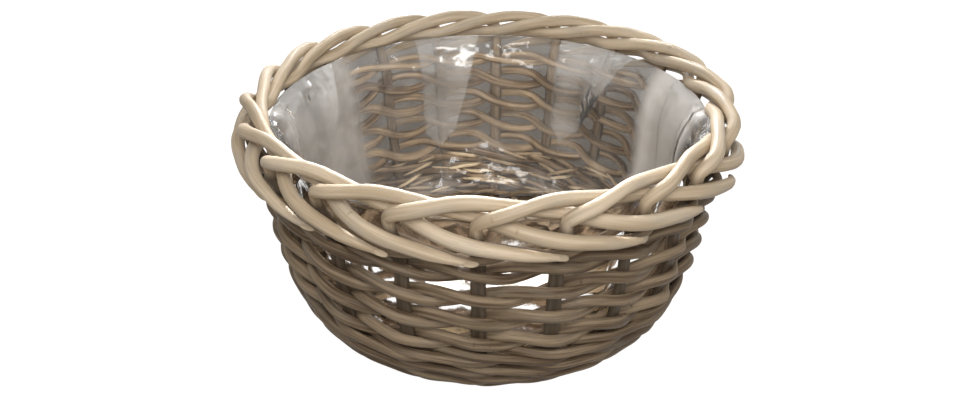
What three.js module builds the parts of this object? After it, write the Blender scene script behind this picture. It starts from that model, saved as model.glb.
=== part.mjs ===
// Round woven willow bowl with a clear film liner. Millimetres, +Z up.
// The origin is the middle of the underside, and the bowl stands on z = 0.
import * as THREE from "three";

// Overall sizes
const outerDiameter = 300;
const bowlHeight = 140;
const footDiameter = 200;

// The wall's shape: how it leaves the foot, where it turns upright, and how the border sits on it
const footSpread = 15;
const footRise = 5;
const bellyHeight = 40;
const bellySetback = 4;
const borderDepth = 38;
const borderOverhang = 20.5;

// Rods, by diameter
const stakeRod = 6;
const borderRod = 7.6;
const pairingRod = 6;
const collarRod = 4.5;
const waleRod = 4.3;
const baseRod = 4.4;
const stickRod = 6.6;
const rodClearance = 0.35;

// Counts
const longSticks = 3;
const crossSticks = 2;
const stakesPerStickEnd = 2;
const waleRods = 3;
const pairingRows = 4;

// How the rows are laid
const firstStakeAngle = -2.5;
const topRowDrop = 8;
const pairingRowGap = 2.3;
const crossingShare = 0.38;
const stakesBetweenRowStarts = 6;
const waleStartStake = 9;
const stepUpStakes = 2;
const buttGap = 0.6;

// Base
const baseEdge = 10;
const stickEndSetback = 4;
const stakeFootLength = 28;
const slathReach = 11;
const baseWeaveStart = 28;

// Liner
const filmThickness = 0.6;
const linerFolds = 22;
const foldDepth = 3.2;
const foldVariation = 0.3;
const foldRise = 25;

// Sides of the faceted rods, and how far past its radius a square base rod's corner lies
const stakeSides = 6;
const weaverSides = 5;
const baseWeaverSides = 4;
const squareCornerFactor = 1.2;

// Two rods that cross or pass a stake at a slant need this much more room than side by side.
const slantFactor = 1.12;
const crossFactor = 0.64;
const baseCrossFactor = 0.72;

const stickEnds = 2 * (longSticks + crossSticks);
const stakeCount = stakesPerStickEnd * stickEnds;
const stickStep = (2 * Math.PI) / stickEnds;
const stakeStep = (2 * Math.PI) / stakeCount;
const firstStake = (firstStakeAngle * Math.PI) / 180;
const firstStick = firstStake - stakeStep / 2;
const up = new THREE.Vector3(0, 0, 1);

const willowBorder = { color: 0xc9b796, roughness: 0.62, metalness: 0 };
const willowWall = { color: 0x9c8b72, roughness: 0.7, metalness: 0 };
const willowBase = { color: 0x8d8071, roughness: 0.75, metalness: 0 };
const clearFilm = { color: 0xe6e8ea, roughness: 0.15, metalness: 0, transparent: true, opacity: 0.35 };

const bowl = new THREE.Group();

function addPiece(name, geometry, finish) {
  const mesh = new THREE.Mesh(geometry, new THREE.MeshStandardMaterial(finish));
  mesh.name = name;
  bowl.add(mesh);
}

// Angle 0 faces the front, which is -Y, and grows to the right as seen from there.
function around(angle, radius, z) {
  return new THREE.Vector3(radius * Math.sin(angle), -radius * Math.cos(angle), z);
}

// A closed rod along a list of points, with its own radius at each point. A level rod's sections
// stand upright, and any other rod carries its first side along without twisting.
function rodGeometry(points, radii, sides, level) {
  const positions = [];
  const indices = [];
  const last = points.length - 1;
  const tangents = points.map((point, i) => {
    const before = points[Math.max(i - 1, 0)];
    const after = points[Math.min(i + 1, last)];
    const along = after.clone().sub(before);
    if (level) along.setZ(0);
    return along.normalize();
  });
  const normal = up.clone();
  for (let i = 0; i <= last; i++) {
    normal.addScaledVector(tangents[i], -normal.dot(tangents[i])).normalize();
    const binormal = new THREE.Vector3().crossVectors(tangents[i], normal);
    for (let k = 0; k < sides; k++) {
      const turn = (2 * Math.PI * (k + 0.5)) / sides;
      const corner = points[i].clone();
      corner.addScaledVector(normal, radii[i] * Math.cos(turn));
      corner.addScaledVector(binormal, radii[i] * Math.sin(turn));
      positions.push(corner.x, corner.y, corner.z);
    }
  }
  for (let i = 0; i < last; i++) {
    for (let k = 0; k < sides; k++) {
      const a = i * sides + k;
      const b = i * sides + ((k + 1) % sides);
      indices.push(a, b, b + sides, a, b + sides, a + sides);
    }
  }
  for (let k = 1; k < sides - 1; k++) {
    indices.push(0, k + 1, k);
    indices.push(last * sides, last * sides + k, last * sides + k + 1);
  }
  const geometry = new THREE.BufferGeometry();
  geometry.setAttribute("position", new THREE.Float32BufferAttribute(positions, 3));
  geometry.setIndex(indices);
  geometry.computeVertexNormals();
  return geometry;
}

// Base: the sticks and the stakes' feet lie at one height, and two rods weave over and under them.
const baseLift = stickRod / 2 + baseRod / 2 + rodClearance;
const baseSidestep = baseRod * baseCrossFactor;
const baseWeavePitch = 2 * baseSidestep + baseRod + rodClearance;
const baseRodFlat = (baseRod / 2) * squareCornerFactor * Math.cos(Math.PI / baseWeaverSides);
const baseMiddle = baseLift + baseRodFlat;
const baseTop = 2 * baseMiddle;
const baseWeaveEnd = footDiameter / 2 - baseEdge;

// The middle line of the wall, from the foot to just under the border: x is the radius, y the height.
const wallTopRadius = outerDiameter / 2 - borderOverhang;
const wallTopHeight = bowlHeight - borderDepth;
const wallLine = new THREE.CubicBezierCurve(
  new THREE.Vector2(footDiameter / 2, baseMiddle),
  new THREE.Vector2(footDiameter / 2 + footSpread, baseMiddle + footRise),
  new THREE.Vector2(wallTopRadius - bellySetback, bellyHeight),
  new THREE.Vector2(wallTopRadius, wallTopHeight)
);

const wallLength = wallLine.getLength();

function wallShareAtHeight(z) {
  let low = 0;
  let high = 1;
  for (let i = 0; i < 40; i++) {
    const middle = (low + high) / 2;
    if (wallLine.getPointAt(middle).y < z) low = middle;
    else high = middle;
  }
  return low;
}

// A place at a share of the wall line's length, moved out along its normal and up along the line.
function wallPlace(share, outward, upward) {
  const place = wallLine.getPointAt(share);
  const along = wallLine.getTangentAt(share);
  return {
    radius: place.x + outward * along.y + upward * along.x,
    z: place.y - outward * along.x + upward * along.y,
  };
}

// Border: how a rod runs on from its own stake. Each entry is how many stakes on, how many rod
// pitches inside the outermost run, and how many rod pitches below the topmost run.
const borderPitch = borderRod + rodClearance;
const outerRunRadius = outerDiameter / 2 - borderRod / 2;
const topRunHeight = bowlHeight - borderRod / 2;
const borderRoute = [
  [0.0, 1.04, 2.14],
  [0.0, 0.86, 1.25],
  [0.08, 0.6, 0.78],
  [0.25, 0.5, 0.42],
  [0.5, 0.84, 0.15],
  [0.75, 1.25, 0.0],
  [1.0, 1.54, 0.08],
  [1.25, 1.68, 0.28],
  [1.5, 1.76, 0.55],
  [1.75, 1.86, 0.86],
  [2.0, 1.84, 1.14],
  [2.25, 1.25, 1.38],
  [2.5, 0.6, 1.62],
  [2.75, 0.18, 1.92],
  [3.0, 0.0, 2.22],
  [3.25, 0.0, 2.52],
  [3.5, 0.0, 2.84],
  [3.75, 0.1, 3.2],
  [3.87, 0.2, 3.4],
];

const stakeFootEnd = baseWeaveEnd - stakeFootLength;
const wallStops = [0, 0.07, 0.15, 0.28, 0.48, 0.75, 1];

// A stake: foot beside a base stick, up through the wall, and on as its border rod.
function stakeGeometry(index) {
  const angle = firstStake + index * stakeStep;
  const side = index % 2 === 0 ? 1 : -1;
  const stickAngle = angle - side * (stakeStep / 2);
  const beside = stickRod / 2 + stakeRod / 2 + rodClearance;
  const points = [];
  const radii = [];
  const footStops = [stakeFootEnd, (stakeFootEnd + baseWeaveEnd) / 2, baseWeaveEnd];
  for (const reach of footStops) {
    const point = around(stickAngle, reach, baseMiddle);
    const across = new THREE.Vector3(Math.cos(stickAngle), Math.sin(stickAngle), 0);
    points.push(point.addScaledVector(across, side * beside));
    radii.push(stakeRod / 2);
  }
  for (const share of wallStops) {
    const place = wallLine.getPointAt(share);
    points.push(around(angle, place.x, place.y));
    radii.push(stakeRod / 2);
  }
  for (const [on, inside, below] of borderRoute) {
    const radius = outerRunRadius - inside * borderPitch;
    points.push(around(angle + on * stakeStep, radius, topRunHeight - below * borderPitch));
    const taper = on > 3 ? 1 - 0.5 * (on - 3) : 1;
    radii.push(on > 0 ? (borderRod / 2) * taper : (stakeRod + borderRod) / 4);
  }
  return rodGeometry(points, radii, stakeSides, false);
}

for (let i = 0; i < stakeCount; i++) {
  addPiece(`stake_${String(i + 1).padStart(2, "0")}`, stakeGeometry(i), willowBorder);
}

// Pairing: two rods to a row, which change places between every two stakes. The top row lies just
// under the border.
const pairingReach = (stakeRod / 2 + pairingRod / 2 + rodClearance) * slantFactor;
const pairingLift = pairingRod * crossFactor;
const pairingHalfHeight = pairingLift + pairingRod / 2;
const pairingPitch = 2 * pairingHalfHeight + pairingRowGap;
const topPairingHeight = wallTopHeight - topRowDrop;

function pairingGeometry(row, member) {
  const share = wallShareAtHeight(topPairingHeight - row * pairingPitch);
  const startStake = 1 + member + stakesBetweenRowStarts * row;
  const endTurn = buttGap / 2 / wallLine.getPointAt(share).x;
  const points = [];
  const addPoint = (stake, turn, outward, upward) => {
    const place = wallPlace(share, outward, upward);
    points.push(around(firstStake + stake * stakeStep + turn, place.radius, place.z));
  };
  for (let k = 0; k < stakeCount; k++) {
    const side = k % 2 === 0 ? -1 : 1;
    addPoint(startStake + k, k === 0 ? endTurn : 0, side * pairingReach, 0);
    addPoint(startStake + k + crossingShare, 0, 0, -side * pairingLift);
  }
  addPoint(startStake + stakeCount, -endTurn, -pairingReach, 0);
  return rodGeometry(points, points.map(() => pairingRod / 2), weaverSides, true);
}

for (let row = 0; row < pairingRows; row++) {
  addPiece(`pairing_rod_${row + 1}_a`, pairingGeometry(row, 0), willowWall);
  addPiece(`pairing_rod_${row + 1}_b`, pairingGeometry(row, 1), willowWall);
}

// Collar: a finer pair that fills the leaning stretch between the top row and the border.
const [, stakeInside, stakeBelow] = borderRoute[0];
const leanTop = new THREE.Vector2(
  outerRunRadius - stakeInside * borderPitch,
  topRunHeight - stakeBelow * borderPitch
);
const leanFoot = new THREE.Vector2(wallTopRadius, wallTopHeight);
const lean = leanTop.clone().sub(leanFoot).normalize();
const collarReach = (stakeRod / 2 + collarRod / 2 + rodClearance) * slantFactor;
const collarLift = collarRod * crossFactor;
const topRowEdge = topPairingHeight + pairingHalfHeight;
const collarHeight = topRowEdge + rodClearance + collarLift + collarRod / 2;
const collarMiddle = leanFoot.clone().addScaledVector(lean, (collarHeight - wallTopHeight) / lean.y);

function collarGeometry(member) {
  const endTurn = buttGap / 2 / collarMiddle.x;
  const points = [];
  const addPoint = (stake, turn, outward, upward) => {
    const radius = collarMiddle.x + outward * lean.y + upward * lean.x;
    const z = collarMiddle.y - outward * lean.x + upward * lean.y;
    points.push(around(firstStake + stake * stakeStep + turn, radius, z));
  };
  for (let k = 0; k < stakeCount; k++) {
    const side = k % 2 === 0 ? -1 : 1;
    addPoint(1 + member + k, k === 0 ? endTurn : 0, side * collarReach, 0);
    addPoint(1 + member + k + crossingShare, 0, 0, -side * collarLift);
  }
  addPoint(1 + member + stakeCount, -endTurn, -collarReach, 0);
  return rodGeometry(points, points.map(() => collarRod / 2), weaverSides, true);
}

addPiece("collar_rod_a", collarGeometry(0), willowWall);
addPiece("collar_rod_b", collarGeometry(1), willowWall);

// Waling: three rods laid in level rounds that fill the wall up to the lowest row of pairing, each
// rod outside two stakes and inside the next. They step up to the next round together, at one place,
// and end inside a stake before it.
const waleReach = (stakeRod / 2 + waleRod / 2 + rodClearance) * slantFactor;
const waleLift = waleRod * crossFactor;
const walePitch = 2 * waleLift + waleRod + rodClearance;
const waleStart = waleReach / 2;
const lowestPairingHeight = topPairingHeight - (pairingRows - 1) * pairingPitch;
const waleTopHeight = lowestPairingHeight - pairingHalfHeight - rodClearance;
const waleSpace = wallShareAtHeight(waleTopHeight) * wallLength - waleRod / 2 - waleLift - waleStart;
const waleRounds = Math.floor(waleSpace / walePitch) + 1;
const roundSpacing = waleRounds > 1 ? waleSpace / (waleRounds - 1) : walePitch;
const waleOutward = [1, 1, 1, 0, -1, 0];
const waleUpward = [1, 0, -1, -1, 0, 1];
const waleCycle = waleOutward.length;
const insidePhase = waleOutward.indexOf(-1);
const longestWale = 2 * (waleRounds * stakeCount - stepUpStakes - waleRods + 1);
const waleHalfSteps = waleCycle * Math.floor((longestWale - insidePhase) / waleCycle) + insidePhase;

function waleGeometry(member) {
  const points = [];
  for (let k = 0; k <= waleHalfSteps; k++) {
    const stakesOn = member + k / 2;
    const round = Math.floor(stakesOn / stakeCount);
    const steppedUp = Math.max((stakesOn - (round + 1) * stakeCount) / stepUpStakes + 1, 0);
    const share = (waleStart + (round + steppedUp) * roundSpacing) / wallLength;
    const outward = waleOutward[k % waleCycle] * waleReach;
    const place = wallPlace(share, outward, waleUpward[k % waleCycle] * waleLift);
    const angle = firstStake + (waleStartStake + stakesOn) * stakeStep;
    points.push(around(angle, place.radius, Math.max(place.z, waleRod / 2)));
  }
  return rodGeometry(points, points.map(() => waleRod / 2), weaverSides, true);
}

for (let member = 0; member < waleRods; member++) {
  addPiece(`waling_rod_${member + 1}`, waleGeometry(member), willowWall);
}

// Base sticks: two laid across three, fanned out so that their ends stand evenly round.
const stickSpacing = stickRod + rodClearance;
const stickReach = footDiameter / 2 - stickEndSetback;

function stickGeometry(firstEnd, count, index, level) {
  const direction = firstEnd + ((count - 1) / 2) * stickStep;
  const along = around(direction, slathReach, 0);
  const across = around(direction + Math.PI / 2, (index - (count - 1) / 2) * stickSpacing, 0);
  const middle = across.clone().setZ(baseMiddle + level);
  const endA = firstEnd + Math.PI + (count - 1 - index) * stickStep;
  const endB = firstEnd + index * stickStep;
  const points = [
    around(endA, stickReach, baseMiddle),
    around(endA, baseWeaveStart, baseMiddle),
    middle.clone().sub(along),
    middle.clone().add(along),
    around(endB, baseWeaveStart, baseMiddle),
    around(endB, stickReach, baseMiddle),
  ];
  return rodGeometry(points, points.map(() => stickRod / 2), stakeSides, true);
}

for (let i = 0; i < longSticks; i++) {
  const geometry = stickGeometry(firstStick, longSticks, i, -stickSpacing / 2);
  addPiece(`base_stick_long_${i + 1}`, geometry, willowBase);
}
for (let i = 0; i < crossSticks; i++) {
  const firstEnd = firstStick + longSticks * stickStep;
  const geometry = stickGeometry(firstEnd, crossSticks, i, stickSpacing / 2);
  addPiece(`base_stick_cross_${i + 1}`, geometry, willowBase);
}

// Base weave: two rods paired round the stick ends in a widening spiral.
function baseWeaveGeometry(member) {
  const points = [];
  const turns = (baseWeaveEnd - baseWeaveStart) / baseWeavePitch;
  const groups = Math.round(turns * stickEnds);
  const radiusAt = (group) => baseWeaveStart + (baseWeavePitch * group) / stickEnds;
  for (let group = 0; group <= groups; group++) {
    const over = (group + member) % 2 === 0 ? 1 : -1;
    const radius = radiusAt(group);
    const middle = firstStick + group * stickStep;
    const bundle = radius > stakeFootEnd - baseRod ? stickRod / 2 + stakeRod : stickRod / 2;
    const halfTurn = (bundle + baseRod / 2) / radius;
    const height = baseMiddle + over * baseLift;
    points.push(around(middle - halfTurn, radius, height));
    points.push(around(middle + halfTurn, radius, height));
    if (group < groups) {
      const between = radiusAt(group + 0.5) + over * baseSidestep;
      points.push(around(middle + stickStep / 2, between, baseMiddle));
    }
  }
  const corner = (baseRod / 2) * squareCornerFactor;
  return rodGeometry(points, points.map(() => corner), baseWeaverSides, true);
}

addPiece("base_weaver_1", baseWeaveGeometry(0), willowBase);
addPiece("base_weaver_2", baseWeaveGeometry(1), willowBase);

// Liner: a film cup that lies inside the weave, its edge tucked under the border's inner runs.
const linerSetback = pairingReach + pairingRod / 2 + rodClearance;
const linerFloor = baseTop + rodClearance;
const linerEdgeRadius = outerRunRadius - 2 * borderPitch;
const linerEdgeHeight = topRunHeight - 1.15 * borderPitch - borderRod / 2 - 2 * rodClearance;
const linerStops = [0.015, 0.1, 0.2, 0.37, 0.65, 1];

function linerProfile(inset) {
  const profile = [
    new THREE.Vector2(0, linerFloor + inset),
    new THREE.Vector2(baseWeaveEnd, linerFloor + inset),
  ];
  for (const share of linerStops) {
    const place = wallPlace(share, -linerSetback - inset, 0);
    profile.push(new THREE.Vector2(place.radius, place.z));
  }
  profile.push(new THREE.Vector2(linerEdgeRadius - inset, linerEdgeHeight));
  return profile;
}

// The sheet's spare width lies in folds that stand in from the wall, on every second column.
const linerOutline = [...linerProfile(0), ...linerProfile(filmThickness).reverse()];
const cup = new THREE.LatheGeometry(linerOutline, 2 * linerFolds);
const cupPoints = cup.attributes.position;
for (let i = 0; i < cupPoints.count; i++) {
  const column = Math.floor(i / linerOutline.length);
  const radius = Math.hypot(cupPoints.getX(i), cupPoints.getZ(i));
  const rise = THREE.MathUtils.clamp((cupPoints.getY(i) - linerFloor) / foldRise, 0, 1);
  const depth = foldDepth * (1 - foldVariation + foldVariation * Math.sin(column * column));
  if (column % 2 === 0 || radius === 0) continue;
  const drawnIn = 1 - (rise * depth) / radius;
  cupPoints.setX(i, cupPoints.getX(i) * drawnIn);
  cupPoints.setZ(i, cupPoints.getZ(i) * drawnIn);
}
addPiece("film_liner", cup.rotateX(Math.PI / 2), clearFilm);

export default bowl;
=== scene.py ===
import math
import random
from functools import partial

import bpy
import numpy as np
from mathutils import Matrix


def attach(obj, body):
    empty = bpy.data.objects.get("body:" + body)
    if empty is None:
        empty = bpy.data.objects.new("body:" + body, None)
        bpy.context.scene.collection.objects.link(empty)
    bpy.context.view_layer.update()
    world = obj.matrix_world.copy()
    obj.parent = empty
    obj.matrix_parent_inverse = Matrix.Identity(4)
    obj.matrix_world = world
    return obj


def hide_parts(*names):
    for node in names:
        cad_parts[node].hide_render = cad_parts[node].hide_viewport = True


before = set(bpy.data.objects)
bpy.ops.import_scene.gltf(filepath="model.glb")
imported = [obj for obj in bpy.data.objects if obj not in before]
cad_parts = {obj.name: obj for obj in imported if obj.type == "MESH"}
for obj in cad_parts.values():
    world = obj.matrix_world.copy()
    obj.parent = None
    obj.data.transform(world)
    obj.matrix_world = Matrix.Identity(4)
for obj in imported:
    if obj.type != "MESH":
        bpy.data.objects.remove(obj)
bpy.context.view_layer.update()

white = (1, 1, 1, 1)

# Sizes that every piece shares, in metres, with angles in degrees.
bowl = {
    "outerDiameter": 0.300,
    "height": 0.140,
    "footDiameter": 0.200,
    "footSpread": 0.015,
    "footRise": 0.005,
    "bellyHeight": 0.040,
    "bellySetback": 0.004,
    "borderDepth": 0.038,
    "borderOverhang": 0.0205,
    "longSticks": 3,
    "crossSticks": 2,
    "stakesPerStickEnd": 2,
    "firstStake": -2.5,
    "clearance": 0.00035,
    "slantFactor": 1.12,  # room that rods need where they pass at a slant
    "crossFactor": 0.64,
    "baseMiddle": 0.00773,  # height of the sticks and the stakes' feet
}

stickEnds = 2 * (bowl["longSticks"] + bowl["crossSticks"])
stakeCount = bowl["stakesPerStickEnd"] * stickEnds
stickStep = 2 * math.pi / stickEnds
stakeStep = 2 * math.pi / stakeCount
firstStake = math.radians(bowl["firstStake"])
firstStick = firstStake - stakeStep / 2


# Angle 0 faces the front, which is -Y, and grows to the right as seen from there.
def around(angle, radius, z):
    return np.array([radius * math.sin(angle), -radius * math.cos(angle), z])


def ramp(value, start, reach):
    return np.clip((value - start) / reach, 0, 1)


def lengthsAlong(points):
    return np.concatenate([[0], np.cumsum(np.linalg.norm(np.diff(points, axis=0), axis=1))])


def added(name, data):
    made = bpy.data.objects.new(name, data)
    bpy.context.scene.collection.objects.link(made)
    return made


# Node building

class Wire:
    def __init__(self, shader, socket):
        self.shader = shader
        self.socket = socket

    def maths(self, operation, first, second):
        return self.shader.node("ShaderNodeMath", {"operation": operation}, {0: first, 1: second})

    def __add__(self, other):
        return self.maths("ADD", self, other)

    def __sub__(self, other):
        return self.maths("SUBTRACT", self, other)

    def __rsub__(self, other):
        return self.maths("SUBTRACT", other, self)

    def __mul__(self, other):
        return self.maths("MULTIPLY", self, other)

    __radd__ = __add__
    __rmul__ = __mul__


# The owner of the nodes is a material or the world.
class Shader:
    def __init__(self, owner):
        owner.use_nodes = True
        self.owner = owner
        self.tree = owner.node_tree
        self.tree.nodes.clear()

    # Settings come first, because some of them change which sockets a node has.
    def node(self, kind, settings=None, values=None, output=0):
        made = self.tree.nodes.new(kind)
        for key, value in (settings or {}).items():
            setattr(made, key, value)
        for key, value in (values or {}).items():
            if isinstance(value, Wire):
                self.tree.links.new(value.socket, made.inputs[key])
            else:
                made.inputs[key].default_value = value
        return Wire(self, made.outputs[output])

    def attribute(self, name, output="Fac"):
        return self.node("ShaderNodeAttribute", {"attribute_name": name}, None, output)

    def ray(self, question):
        return self.node("ShaderNodeLightPath", None, None, question)

    def noise(self, vector, scale, detail):
        scaled = self.node("ShaderNodeVectorMath", {"operation": "MULTIPLY"}, {0: vector, 1: scale})
        return self.node("ShaderNodeTexNoise", None, {"Vector": scaled, "Scale": 1.0, "Detail": detail})

    def step(self, value, low, high, toLow=0.0, toHigh=1.0):
        sockets = {"Value": value, "From Min": low, "From Max": high, "To Min": toLow, "To Max": toHigh}
        return self.node("ShaderNodeMapRange", {"interpolation_type": "SMOOTHSTEP"}, sockets)

    def bump(self, strength, distance, height):
        values = {"Strength": strength, "Distance": distance, "Height": height}
        return self.node("ShaderNodeBump", None, values)

    # A colour Mix node has its factor, A and B at inputs 0, 6 and 7, and its result at output 2.
    def colours(self, factor, first, second, blend="MIX"):
        settings = {"data_type": "RGBA", "blend_type": blend}
        return self.node("ShaderNodeMix", settings, {0: factor, 6: first, 7: second}, 2)

    def mixed(self, factor, first, second):
        return self.node("ShaderNodeMixShader", None, {0: factor, 1: first, 2: second})

    def done(self, surface, output="ShaderNodeOutputMaterial"):
        end = self.tree.nodes.new(output)
        self.tree.links.new(surface.socket, end.inputs["Surface"])
        return self.owner


# The wall's middle line, by its share of length from the foot to just under the border

wallTopRadius = bowl["outerDiameter"] / 2 - bowl["borderOverhang"]
wallTopHeight = bowl["height"] - bowl["borderDepth"]
wallCorners = np.array([
    [bowl["footDiameter"] / 2, bowl["baseMiddle"]],
    [bowl["footDiameter"] / 2 + bowl["footSpread"], bowl["baseMiddle"] + bowl["footRise"]],
    [wallTopRadius - bowl["bellySetback"], bowl["bellyHeight"]],
    [wallTopRadius, wallTopHeight],
])


def bezier(corners, count):
    t = np.linspace(0, 1, count)[:, None]
    s = 1 - t
    first, second, third, fourth = corners
    return s ** 3 * first + 3 * t * s ** 2 * second + 3 * t * t * s * third + t ** 3 * fourth


wallLine = bezier(wallCorners, 600)
wallAlong = lengthsAlong(wallLine)
wallLength = wallAlong[-1]
wallSlope = np.gradient(wallLine, wallAlong, axis=0)


def wallPlace(share, outward=0.0, upward=0.0):
    lines = (*wallLine.T, *wallSlope.T)
    radius, height, across, rise = (np.interp(share * wallLength, wallAlong, line) for line in lines)
    return radius + outward * rise + upward * across, height - outward * across + upward * rise


def wallShareAtHeight(z):
    return float(np.interp(z, wallLine[:, 1], wallAlong)) / wallLength


# How the layout strays from the even one. A wave has its size, count round the bowl, start and climb.
sway = {
    "size": 0.0008,
    "outward": [(1, 3, 1.3, 38), (0.7, 7, 0.4, -61), (0.5, 12, 2.2, 45)],
    "upward": [(1, 4, 2.9, -33), (0.8, 9, 0.9, 52)],
    "floorReach": 0.03,
    "rimReach": 0.02,
    "middleReach": 0.09,
}


def waves(direction, angle, z):
    total = 0
    for size, count, start, climb in sway[direction]:
        total = total + size * np.sin(count * angle + start + climb * z)
    return total


# The whole weave strays together, so that rods that touch still touch. A point near the floor keeps
# its height.
def swayed(points):
    angle = np.arctan2(points[:, 0], -points[:, 1])
    radius = np.hypot(points[:, 0], points[:, 1])
    z = points[:, 2]
    free = ramp(z, 0, sway["floorReach"]) ** 2 * ramp(bowl["height"] - z, 0, sway["rimReach"])
    fromMiddle = ramp(radius, 0, sway["middleReach"]) ** 3
    radius = radius + sway["size"] * waves("outward", angle, z) * fromMiddle * free
    height = z + sway["size"] * waves("upward", angle, z) * free
    return np.stack([radius * np.sin(angle), -radius * np.cos(angle), height], 1)


# Rods. Each is a route with a radius at each point, swept to a tube with knots and cut ends.

rodForm = {
    "phase": (0, 6),
    "grainStart": (0, 50),
    "swell": 0.025,
    "swellLength": 0.013,
    "ripple": 0.02,
    "rippleLength": 0.0047,
    "oval": 0.03,
    "ovalLength": 0.05,
    "firstKnot": (0.01, 0.05),
    "knotReach": 0.0016,
    "knotTurn": (-0.5, 0.5),
    "cutFacing": 0.7,
    "chamferShare": 0.86,
    "chamferRise": 0.12,
}


def smoothRoute(points, step):
    points = np.asarray(points, float)
    gaps = np.linalg.norm(np.diff(points, axis=0), axis=1)
    knots = np.concatenate([[0], np.cumsum(gaps)])
    slopes = np.diff(points, axis=0) / gaps[:, None]
    weight = (gaps[1:] / (gaps[:-1] + gaps[1:]))[:, None]
    inner = slopes[:-1] * weight + slopes[1:] * (1 - weight)
    tangents = np.vstack([slopes[:1], inner, slopes[-1:]])
    at = np.linspace(0, knots[-1], max(int(knots[-1] / step), 2) + 1)
    span = np.clip(np.searchsorted(knots, at, side="right") - 1, 0, len(gaps) - 1)
    gap = gaps[span]
    t = ((at - knots[span]) / gap)[:, None]
    near = points[span] * (2 * t ** 3 - 3 * t ** 2 + 1) + points[span + 1] * (3 * t ** 2 - 2 * t ** 3)
    lean = tangents[span] * (t ** 3 - 2 * t ** 2 + t) + tangents[span + 1] * (t ** 3 - t ** 2)
    return near + lean * gap[:, None], span + t[:, 0]


def sectionFrames(route, level):
    along = np.gradient(route, axis=0)
    along /= np.linalg.norm(along, axis=1)[:, None]
    normals = np.empty_like(route)
    upright = np.array([0.0, 0.0, 1.0])
    normal = upright
    for i, tangent in enumerate(along):
        if level:
            normal = upright
        normal = normal - tangent * normal.dot(tangent)
        normal /= np.linalg.norm(normal)
        normals[i] = normal
    return along, normals, np.cross(along, normals)


def knotBumps(travelled, turn, knotGap, draw):
    bumps = np.zeros((len(travelled), len(turn)))
    at = draw.uniform(*rodForm["firstKnot"])
    facing = draw.uniform(*rodForm["phase"])
    while at < travelled[-1]:
        reach = np.exp(-((travelled - at) / rodForm["knotReach"]) ** 2)
        bumps += reach[:, None] * np.clip(np.cos(turn - facing), 0, 1)[None, :] ** 2
        facing += math.pi + draw.uniform(*rodForm["knotTurn"])
        at += draw.uniform(*knotGap)
    return bumps


def sweepRod(rod, draw):
    sides = rod["sides"]
    count = len(rod["points"])
    route, places = smoothRoute(rod["points"], rod["step"])
    given = (np.broadcast_to(rod[key], count) for key in ("radii", "flat", "inWall"))
    radii, flat, inWall = (np.interp(places, np.arange(count), values) for values in given)
    if rod["sways"]:
        route = swayed(route)
    along, normals, sideways = sectionFrames(route, rod["level"])
    travelled = lengthsAlong(route)
    turn = 2 * math.pi * np.arange(sides) / sides
    swellTurn = travelled / rodForm["swellLength"] + draw.uniform(*rodForm["phase"])
    swell = 1 + rodForm["swell"] * np.sin(swellTurn)
    swell += rodForm["ripple"] * np.sin(travelled / rodForm["rippleLength"])
    knot = knotBumps(travelled, turn, rod["knotGap"], draw)
    ovalTurn = turn[None, :] + travelled[:, None] / rodForm["ovalLength"] + draw.uniform(0, 3)
    oval = 1 + rodForm["oval"] * np.cos(2 * ovalTurn)
    oval = oval + flat[:, None] * np.cos(2 * turn)[None, :]
    size = radii[:, None] * swell[:, None] * oval * (1 + rod["knotBulge"] * knot)
    spoke = np.cos(turn)[None, :, None] * normals[:, None, :]
    spoke += np.sin(turn)[None, :, None] * sideways[:, None, :]
    # How far each side faces in, which the willow colour uses to paint light on the inward sides
    outwards = route[:, :2] / np.maximum(np.linalg.norm(route[:, :2], axis=1), 0.001)[:, None]
    inner = np.clip(-np.sum(spoke[:, :, :2] * outwards[:, None, :], axis=2), 0, 1)
    rings = route[:, None, :] + size[:, :, None] * spoke
    rings[:, :, 2] = np.maximum(rings[:, :, 2], 0)
    grain = np.stack([
        np.repeat(travelled[:, None], sides, 1) + draw.uniform(*rodForm["grainStart"]),
        size * np.cos(turn)[None, :],
        size * np.sin(turn)[None, :],
    ], 2)
    return {
        "rings": rings,
        "along": along,
        "size": size,
        "grain": grain,
        "knot": knot,
        "cutEnd": np.zeros(size.shape),
        "tone": np.full(size.shape, rod["tone"]),
        "inWall": np.repeat(inWall[:, None], sides, 1),
        "inner": inner,
    }


# A cut end: the last ring leans along the cut, then a small chamfer and the middle close it.
def cutEnd(swept, index, outwards, slant):
    ring = swept["rings"][index]
    middle = ring.mean(0)
    away = swept["along"][index] * outwards
    facing = 2 * math.pi * np.arange(len(ring)) / len(ring) + rodForm["cutFacing"]
    lean = np.cos(facing) * swept["size"][index] * slant
    edge = ring + away * (lean[:, None] - lean.min())
    chamfer = middle + (edge - middle) * rodForm["chamferShare"]
    chamfer = chamfer + away * swept["size"][index].mean() * rodForm["chamferRise"]
    return edge, np.vstack([chamfer, chamfer.mean(0)[None, :]])


def tubeFaces(base, count, sides):
    ring = np.arange(sides)
    following = (ring + 1) % sides
    start = base + np.arange(count - 1)[:, None] * sides
    corners = [start + ring, start + following, start + sides + following, start + sides + ring]
    faces = np.stack(corners, 2).reshape(-1, 4).tolist()
    first = base + count * sides
    last = first + sides + 1
    end = base + (count - 1) * sides
    for k in range(sides):
        m = (k + 1) % sides
        faces.append([base + m, base + k, first + k, first + m])
        faces.append([first + m, first + k, first + sides])
        faces.append([end + k, end + m, last + m, last + k])
        faces.append([last + k, last + m, last + sides])
    return faces


def writeAttribute(mesh, name, values):
    kind, field = ("FLOAT_VECTOR", "vector") if values.ndim == 2 else ("FLOAT", "value")
    made = mesh.attributes.new(name, kind, "POINT")
    made.data.foreach_set(field, values.astype(np.float32).ravel())


def smoothObject(name, verts, faces, material):
    mesh = bpy.data.meshes.new(name)
    mesh.from_pydata(verts, [], faces)
    mesh.polygons.foreach_set("use_smooth", [True] * len(mesh.polygons))
    mesh.materials.append(material)
    return added(name, mesh)


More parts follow.
